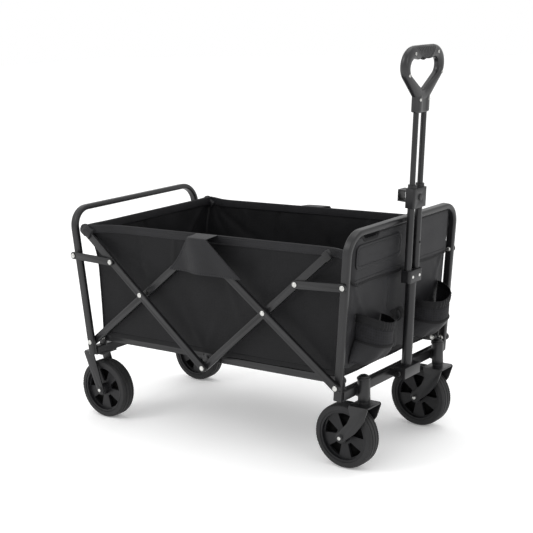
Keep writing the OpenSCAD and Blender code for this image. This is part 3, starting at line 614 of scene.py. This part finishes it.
# %% [markdown]
# ## Front panel
# The front wall leans with the front frame and stays there when the cart folds. A doubled band across
# its top wraps round to both sides; a flat document pocket is sewn on its right half. All of it is
# drawn on the lean, by how far across, how far up and how far in front, so that one set of folds
# carries through the wall, the band and the pocket.

# %% Panel helpers
def on_panel(y, s, proud):
    """A point on the leaning front panel: y across, s up the lean from the pivot, proud in front."""
    x = PANEL_X + s * np.sin(LEAN) + (proud - 0.0025) * np.cos(LEAN)
    return at(x, y, PIVOT_Z + s * np.cos(LEAN) - (proud - 0.0025) * np.sin(LEAN))


def panel_relief(y, s):
    """The panel's own unevenness: slow bumps with folds from its upper corners and pocket roots."""
    lines = [(-0.25, 0.30, -60, 0.22, 0.010, 0.003), (0.25, 0.30, 240, 0.22, 0.010, 0.003),
             (-0.06, 0.16, 95, 0.15, 0.010, 0.0028), (0.05, 0.17, 80, 0.15, 0.012, -0.003),
             (-0.24, 0.12, 70, 0.14, 0.010, 0.0026), (0.23, 0.12, 110, 0.14, 0.010, 0.0026),
             (0.00, 0.03, 96, 0.12, 0.012, 0.0028), (-0.15, 0.02, 84, 0.10, 0.012, -0.0024)]
    return bumps(y, s, 21, 0.12, 0.0014) + creases(y, s, lines)


# %% Front wall and top band
SLOT_Y, SLOT_HALF, SLOT_DIP = -0.170, 0.036, 0.012


def hand_slot(y):
    """How far the cloth dips below the top bar: a soft-edged slot on the right half."""
    return SLOT_DIP / (1 + np.exp(-(SLOT_HALF - np.abs(y - SLOT_Y)) / 0.0022))


t, v = np.meshgrid(np.linspace(-1, 1, 201), np.linspace(0, 1, 121), indexing="ij")
s = 0.030 + v * (0.354 - hand_slot(t * 0.2585))
half = 0.2495 + 0.009 / (1 + np.exp(-(s - 0.29) / 0.012))
y = t * half
edge = np.clip((np.abs(t) - 0.92) / 0.08, 0, 1)
front_wall = grid_mesh("front_wall", on_panel(y, s, panel_relief(y, s) * (1 - edge) - 0.004 * edge ** 2))
settle(front_wall, "front_frame", PANEL, ["tub_front_wall"], thick(0.0018))
y, s = np.meshgrid(np.linspace(-0.2600, 0.2600, 181), np.linspace(0, 1, 41), indexing="ij")
curl = np.clip((np.abs(y) - 0.222) / 0.038, 0, 1)
low = 0.262 + 0.040 * curl ** 2 + 0.002 * np.sin(y * 30)
high = 0.3865 - 0.016 * curl ** 2 - hand_slot(y)
s = low + s * (high - low)
proud = 0.0060 + 0.6 * panel_relief(y, s) * np.clip((0.38 - s) / 0.03, 0, 1) - 0.018 * curl ** 2.5
top_band = grid_mesh("top_band", on_panel(y, s, proud))
settle(top_band, "front_frame", PANEL, [], thick(0.0018))
for name, row in (("band_binding_low", 0), ("band_binding_top", -1)):
    path = on_panel(y[:, row], s[:, row], proud[:, row] + 0.0004)
    strip_of(name, path, [1, 0, 0], round_section(0.0042, 0.0015, 0.7), "front_frame", TAPE)
strip_of("panel_binding", on_panel(y[:, 0] * 0.955, 0.034, 0.0005), [1, 0, 0],
         round_section(0.007, 0.0018, 0.7), "front_frame", TAPE)
print("front wall and band")

# %% [markdown]
# The document pocket is a flat patch with a raised edge and a seam just inside it. Nested copies of one
# rounded outline, each lifted a little more or less, give the rolled edge and the dip of the seam.

# %% Document pocket
def rounded_rectangle(y0, y1, s0, s1, radius, count=24):
    """Four quarter circles joined by straight sides, as (y, s) points."""
    turn = np.linspace(0, np.pi / 2, count)
    y0, y1, s0, s1 = y0 + radius, y1 - radius, s0 + radius, s1 - radius
    centres = [(y1, s1), (y0, s1), (y0, s0), (y1, s0)]
    return np.concatenate([np.stack([y + radius * np.cos(turn + k * np.pi / 2),
                                     s + radius * np.sin(turn + k * np.pi / 2)], -1)
                           for k, (y, s) in enumerate(centres)])


def pocket_rings(outline, lifts, insets):
    """Nested copies of an outline drawn in by insets and lifted off the panel by lifts."""
    middle = outline.mean(0)
    size = np.ptp(outline, axis=0) / 2
    rings = [middle + (outline - middle) * (1 - inset / size) for inset in insets]
    return np.stack([on_panel(*ring.T, 0.0065 + lift + 0.6 * panel_relief(*ring.T))
                     for ring, lift in zip(rings, lifts)])


outline = rounded_rectangle(-0.236, -0.016, 0.300, 0.366, 0.016)
insets = np.array([0, 0.0008, 0.004, 0.009, 0.014, 0.020, 0.026, 0.032, 0.0329])
lifts = np.array([0.0004, 0.0020, 0.0024, 0.0018, 0.0026, 0.0032, 0.0035, 0.0036, 0.0036])
pocket = grid_mesh("document_pocket", pocket_rings(outline, lifts, insets)[::-1], wrap_cols=True, caps=True)
settle(pocket, "front_frame", PANEL)
seam = pocket_rings(outline, [0.0026], [0.0085])[0]
front_rows = [np.concatenate([seam, seam[:1]])]
across = np.linspace(-0.235, 0.235, 200)
for level in (0.2655, 0.2740):
    front_rows.append(on_panel(across, level, 0.0078 + 0.6 * panel_relief(across, level)))
stitches("front_stitches", front_rows, [[1.0, 0, 0.1]] * 3, "front_frame")
print("document pocket and", len(front_rows), "rows of stitches")

# %% [markdown]
# ## Cup pockets
# Each cup pocket has an elastic band at the top, a band of net below it and a solid foot. The cloth
# bulges round the cup and flattens into the panel at both sides, drawn in at the foot. A half cylinder
# would meet the panel at a hard corner, so the bulge is a power curve that comes in softly.

# %% Cup pockets
def pocket_skin(t, h, centre, grow=0.0):
    """t runs across from -1 to 1 and h from the foot 0 to the rim 1: depth = reach times
    (1 - |t|^2.6)^0.6, and reach and half width shrink towards the foot."""
    low = np.clip((0.45 - h) / 0.45, 0, 1)
    belly = 1 - 0.62 * low ** 1.6
    tuck = 1 - 0.04 * np.exp(-((h - 0.84) / 0.05) ** 2)
    half = 0.062 + 0.020 * low ** 0.8 + grow
    depth = (0.066 * belly * tuck + grow) * (1 - np.abs(t) ** 2.6) ** 0.6
    gather = 0.0009 * np.sin(t * 38) * (1 - np.abs(t) ** 4) * (h > 0.84)
    folds = 0.0035 * np.sin(t * 9 + centre * 9 + h * 4) * np.exp(-((h - 0.1) / 0.25) ** 2) * (1 - t ** 4)
    height = 0.112 + 0.012 * np.abs(t) ** 2.2 + 0.014 * t * np.sign(centre)
    s = 0.044 + h * height + 0.022 * np.abs(t) ** 4 * (1 - h) ** 2
    return on_panel(centre + t * half, s, 0.004 + depth + gather + folds)


t_line = np.sin(np.linspace(-np.pi / 2, np.pi / 2, 97))
CUP_Y = 0.150
# Each part of a pocket: its name, lowest and highest h, finish, growth and thickness.
PARTS = (("foot", 0.0, 0.46, PANEL, 0.0, 0.0016), ("net", 0.44, 0.88, NET, -0.0006, 0.0016),
         ("band", 0.86, 1.0, TAPE, 0.0012, 0.0024))
for side, name in ((-1, "right"), (1, "left")):
    centre = side * CUP_Y
    for part, h0, h1, finish, grow, depth in PARTS:
        t, h = np.meshgrid(t_line, np.linspace(h0, h1, 25), indexing="ij")
        points = pocket_skin(t, h, centre, grow)
        if part == "foot":
            back_in = (on_panel(points[:, 0, 1], 0.050, 0.003) - points[:, 0])[:, None]
            under = points[:, :1] + back_in * np.linspace(1, 0, 9)[None, :-1, None]
            points = np.concatenate([under, points], 1)
        obj = grid_mesh(f"cup_pocket_{part}_{name}", points)
        nodes = ["cup_pockets"] if part == "foot" and side < 0 else []
        settle(obj, "front_frame", finish, nodes, thick(depth))
    for k, h in enumerate((0.455, 0.865, 0.997)):
        strip_of(f"cup_binding_{k}_{name}", pocket_skin(t_line, h, centre, 0.0012), [0.9, 0, 0.1],
                 round_section(0.0036, 0.0013, 0.8, 10), "front_frame", TAPE)
print("cup pockets made")

# %% [markdown]
# Two short loops of webbing are sewn to the panel between the pockets. Each is a flat strip that stands
# off the panel by half a sine wave.

# %% Webbing loops on the panel
for k, y0 in enumerate((-0.030, 0.006)):
    t = np.linspace(0, 1, 49)
    path = on_panel(y0 + 0.004 * t, 0.150 - 0.035 * t, 0.004 + 0.010 * np.sin(np.pi * t) ** 0.8)
    strip_of(f"webbing_loop_{k}", path, [1, 0, 0], round_section(0.010, 0.0011, 0.6), "front_frame", TAPE)
print("two webbing loops")

# %% [markdown]
# ## Corner boots
# At the rear corners the cloth is drawn out and wraps the end of the outer bar in a small folded boot.
# It is a sleeve carried along the bar, so it rides on the bar and not on the tub.

# %% Corner boots
BOOT_Y, BOOT_HALF_WIDTH, BOOT_HALF_DEPTH = 0.2802, 0.0150, 0.0128
BOOT_SIDES = 28


def boot(name, start, end, body):
    """A flat sleeve round a bar's end: a squared ellipse carried from start to end, loose at its
    mouth and closing over the end, with shallow folds round it."""
    t = np.linspace(0, 1, 29)[:, None]
    path = start + t * (end - start)
    section = round_section(BOOT_HALF_WIDTH, BOOT_HALF_DEPTH, 0.62, BOOT_SIDES)
    points = carry(path, np.array([0, 1.0, 0]), section)
    turn = np.linspace(0, 2 * np.pi, BOOT_SIDES, endpoint=False)
    swell = 1 + 0.07 * np.sin(3 * turn + 5 * t) * (1 - t) + 0.10 * (1 - t) ** 3
    swell = swell * np.sqrt(np.clip(1.0001 - t ** 8, 0.02, 1))
    points = path[:, None] + (points - path[:, None]) * swell[:, :, None]
    return settle(grid_mesh(name, points, wrap_cols=True, caps=True), body, PANEL)


for side, name in ((-1, "right"), (1, "left")):
    boot("rear_boot_" + name, at(-0.396, side * BOOT_Y, 0.5745), at(-0.4385, side * BOOT_Y, 0.5962),
         "rear_outer_linkage")
print("two corner boots")

# %% [markdown]
# ## Tyres
# The tyre is a turned section: straight sidewalls, round shoulders with fine teeth, and a tread with
# ribs between three grooves. The teeth could be cut with an array of blocks; here they are a wave round
# the wheel that acts only at the shoulders, which keeps the tyre one closed surface.

# %% Tyres
TYRE_DEPTH, WALL_DEPTH, TEETH = 0.0171, 0.011, 90


def around(middle, radius, across, turn):
    """Points at a radius and a distance across, turned round a wheel's axis through middle."""
    return np.stack(np.broadcast_arrays(middle[0] + radius * np.cos(turn), middle[1] + across,
                                        middle[2] + radius * np.sin(turn)), -1)


def tyre(name, node, body):
    """A section of (radius, width) turned round the wheel: the crown falls off with the sixth power of
    the width, less a steep bell for each groove."""
    lo, hi = (np.array(c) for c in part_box(node))
    middle, radius, half = (lo + hi) / 2, (hi[2] - lo[2]) / 2, (hi[1] - lo[1]) / 2
    bead = radius - TYRE_DEPTH
    t = np.linspace(-1, 1, 93)
    crown = radius - 0.0008 - 0.0045 * np.abs(t) ** 6
    groove = sum(0.0030 * np.exp(-((t * half - w) / 0.0019) ** 4) for w in (-0.0125, 0.0, 0.0125))
    inner = np.linspace(half, -half, 9)[1:-1]
    width = np.concatenate([[-half, -half], t * half, [half, half], inner])
    wall = radius - WALL_DEPTH
    profile = np.concatenate([[bead, wall], crown - groove, [wall, bead], np.full(len(inner), bead)])
    turn = np.linspace(0, 2 * np.pi, 360, endpoint=False)[:, None]
    shoulder = np.exp(-((np.abs(width) - half * 0.93) / 0.0022) ** 2) * (profile > radius - 0.008)
    r = profile[None] - 0.0013 * shoulder[None] * (0.5 + 0.5 * np.sign(np.sin(turn * TEETH)))
    obj = grid_mesh(name, around(middle, r, width[None], turn), wrap_rows=True, wrap_cols=True)
    obj.data.set_sharp_from_angle(angle=np.radians(40))
    return settle(obj, body, TYRE, [node])


for end in ("front", "rear"):
    for name in ("right", "left"):
        tyre(f"tread_{end}_{name}", f"tyre_{end}_{name}", f"wheel_{end}_{name}")
print("four tyres")

# %% [markdown]
# Inside each wheel a thin web closes the wedge pockets between the spokes. It sits deep in the wheel
# and sees little light, so it is near black. Each axle bolt ends in a small bright domed nut. Both are
# round, so both are a few points turned round the axle.

# %% Wheel webs and axle nuts
WEB_PROFILE = [(0.020, -0.0027), (0.062, -0.0031), (0.062, 0.0031), (0.020, 0.0027)]
NUT_RADIUS, NUT_RISE, NUT_FOOT = 0.0052, 0.0026, 0.002


def turned(name, centre, profile, body, finish):
    """A profile of (radius, across) points turned once round the wheel's axis."""
    turn = np.linspace(0, 2 * np.pi, 48, endpoint=False)[:, None]
    points = around(centre, *np.asarray(profile).T, turn)
    return settle(grid_mesh(name, points, wrap_rows=True, wrap_cols=True), body, finish)


for end in ("front", "rear"):
    for hand in ("right", "left"):
        low, high = (np.array(c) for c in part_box(f"rim_{end}_{hand}"))
        centre = (low + high) / 2
        turned(f"wheel_web_{end}_{hand}", centre, WEB_PROFILE, f"wheel_{end}_{hand}", WEB_SHADE)
        carrier = "rear_frame" if end == "rear" else "caster_" + hand
        axle_low, axle_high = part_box("rear_axles" if end == "rear" else "front_axle_" + hand)
        reach = (axle_high[1] - axle_low[1]) / 2 if end == "front" else axle_high[1] - abs(centre[1])
        for k, way in enumerate((-1, 1)):
            arc = np.linspace(0.06, np.pi / 2, 8)
            rise = reach - 0.0006 + NUT_RISE * np.cos(arc)
            dome = np.stack([NUT_RADIUS * np.sin(arc) ** 0.8, way * rise], -1)
            foot = [(radius, way * (reach - NUT_FOOT)) for radius in (NUT_RADIUS, 0.0004)]
            turned(f"axle_nut_{end}_{hand}_{k}", centre, np.concatenate([dome, foot]), carrier, ZINC)
print("webs and nuts")

# %% [markdown]
# ## The grip
# The grip is a closed loop with round arms. It could be a bent tube, but its arms change width as they
# go, so it is made between two outlines, each the rounded hull of a few circles; a squared ellipse
# between them gives the arm, with finger ribs along the top bar. Below, the two tubes enter round
# housings either side of a flat neck.

# %% Grip
def in_handle(x, y, s):
    """Places points given in the handle's own plane: x forwards, y across, s up from its pivot."""
    return np.stack(np.broadcast_arrays(HANDLE[0] + x * np.cos(TILT) + s * np.sin(TILT), y,
                                        HANDLE[1] - x * np.sin(TILT) + s * np.cos(TILT)), -1)


def hull_radius(circles, turn):
    """Distance from the centre to the rounded hull of circles (across, up, radius): the least, over all
    directions a, of the hull's reach in a (greatest of centre . a + radius) over cos(turn - a)."""
    a = np.linspace(0, 2 * np.pi, 720, endpoint=False)
    reach = np.max([cy * np.cos(a) + cz * np.sin(a) + r for cy, cz, r in circles], 0)
    facing = np.cos(turn[:, None] - a[None])
    return np.min(np.where(facing > 0.05, reach / np.maximum(facing, 0.05), 9), 1)


def squared(c, power):
    """A cosine or sine pushed towards 1 or -1, which squares a circle as power falls below 1."""
    return np.sign(c) * np.abs(c) ** power


# Heights up the handle from its pivot, and the loop's and neck's own sizes.
NECK_S, LOOP_S = 0.700, 0.805
NECK_HEIGHT, NECK_HALF_WIDTH, LOOP_HALF_DEPTH = 0.058, 0.0365, 0.0126
turn = np.linspace(0, 2 * np.pi, 288, endpoint=False)
outer = hull_radius([(0.051, 0.017, 0.048), (-0.051, 0.017, 0.048),
                     (0.020, -0.063, 0.012), (-0.020, -0.063, 0.012)], turn)
inner = hull_radius([(0.051, 0.010, 0.022), (-0.051, 0.010, 0.022), (0, -0.036, 0.010)], turn)
across = outer * np.cos(turn)
on_top = np.clip((np.sin(turn) - 0.45) * 6, 0, 1)
inner = inner - 0.0030 * np.cos(across / 0.030 * np.pi) * on_top
phi = np.linspace(0, 2 * np.pi, 40, endpoint=False)[None]
rib = (0.0011 * np.cos(across / 0.0098 * 2 * np.pi) * on_top * (np.abs(across) < 0.052))[:, None]
half = ((outer - inner) / 2)[:, None] + rib
distance = ((outer + inner) / 2)[:, None] + half * squared(np.cos(phi), 0.86)
depth = (LOOP_HALF_DEPTH + rib * 0.8) * squared(np.sin(phi), 0.86)
points = in_handle(depth, distance * np.cos(turn)[:, None], LOOP_S + distance * np.sin(turn)[:, None])
settle(grid_mesh("grip_loop", points, wrap_rows=True, wrap_cols=True), "telescope", GRIP,
       ["grip_front_shell", "grip_rear_shell"])
phi = np.linspace(0, 2 * np.pi, 96, endpoint=False)[None]
v = np.linspace(0, 1, 41)[:, None]
s = NECK_S + NECK_HEIGHT * v
close = np.sqrt(1 - np.clip((0.08 - v) / 0.08, 0, 1) ** 2 * 0.5) * (1 - 0.40 * np.clip(v - 0.75, 0, 1))
y = NECK_HALF_WIDTH * close * squared(np.cos(phi), 0.6)
body_depth = 0.0108 + 0.0024 * np.exp(-((np.abs(y) - 0.020) / 0.0085) ** 4)
x = body_depth * close * squared(np.sin(phi), 0.5)
neck = grid_mesh("grip_neck", in_handle(x, y, s), wrap_cols=True, caps=True)
settle(neck, "telescope", GRIP)
print("grip made")

# %% [markdown]
# ## Floor and light
# A pale studio floor under a white sky, a broad key light from the upper left, a weaker one from the
# right and one from above, so that the black parts show their edges and the shadow below stays soft.
# The floor glows a little of its own, because a white floor under a black cart would go grey. Colours
# are shown straight, with the Standard view, so that white stays white.

# %% Studio
FLOOR_HALF, FLOOR_GLOW = 20.0, 0.16
edges = [-FLOOR_HALF, FLOOR_HALF]
floor = grid_mesh("studio_floor", np.stack(np.meshgrid(edges, edges, [0.0], indexing="ij"), -1)[:, :, 0])
bpy.context.scene.collection.objects.link(floor)
pale = finish_of("matt_white_floor", "fbfbfb", "ffffff", 0.95, 900, 400, 0.0)
pale_shader = pale.node_tree.nodes["Principled BSDF"]
pale_shader.inputs["Emission Color"].default_value = (1, 1, 1, 1)
pale_shader.inputs["Emission Strength"].default_value = FLOOR_GLOW
floor.data.materials.append(pale)
world = bpy.data.worlds.new("studio_sky")
bpy.context.scene.world = world
world.use_nodes = True
world.node_tree.nodes["Background"].inputs["Color"].default_value = (1, 1, 1, 1)
world.node_tree.nodes["Background"].inputs["Strength"].default_value = 1.0
bpy.context.scene.view_settings.view_transform = "Standard"
# Each lamp: its name, place, power in watts and width in metres; all face the middle of the tub.
for name, place, power, size in (("key", (-2.0, -3.0, 3.4), 40, 1.8), ("fill", (3.6, -1.2, 2.2), 15, 1.6),
                                 ("top", (0.3, 0.6, 4.2), 30, 2.6)):
    lamp = bpy.data.objects.new(name, bpy.data.lights.new(name, "AREA"))
    lamp.data.energy, lamp.data.size = power, size
    bpy.context.scene.collection.objects.link(lamp)
    lamp.location = place
    lamp.rotation_euler = (Vector((0, 0, 0.4)) - Vector(place)).to_track_quat("-Z", "Y").to_euler()

# %% [markdown]
# ## Tub meshes
# As the cart folds, its real tub crumples between the two end frames. Here each sewn piece of the tub
# is only given a mesh of its own.

# %% Give each tub piece its own mesh
for obj in TUB_PIECES:
    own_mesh(obj)
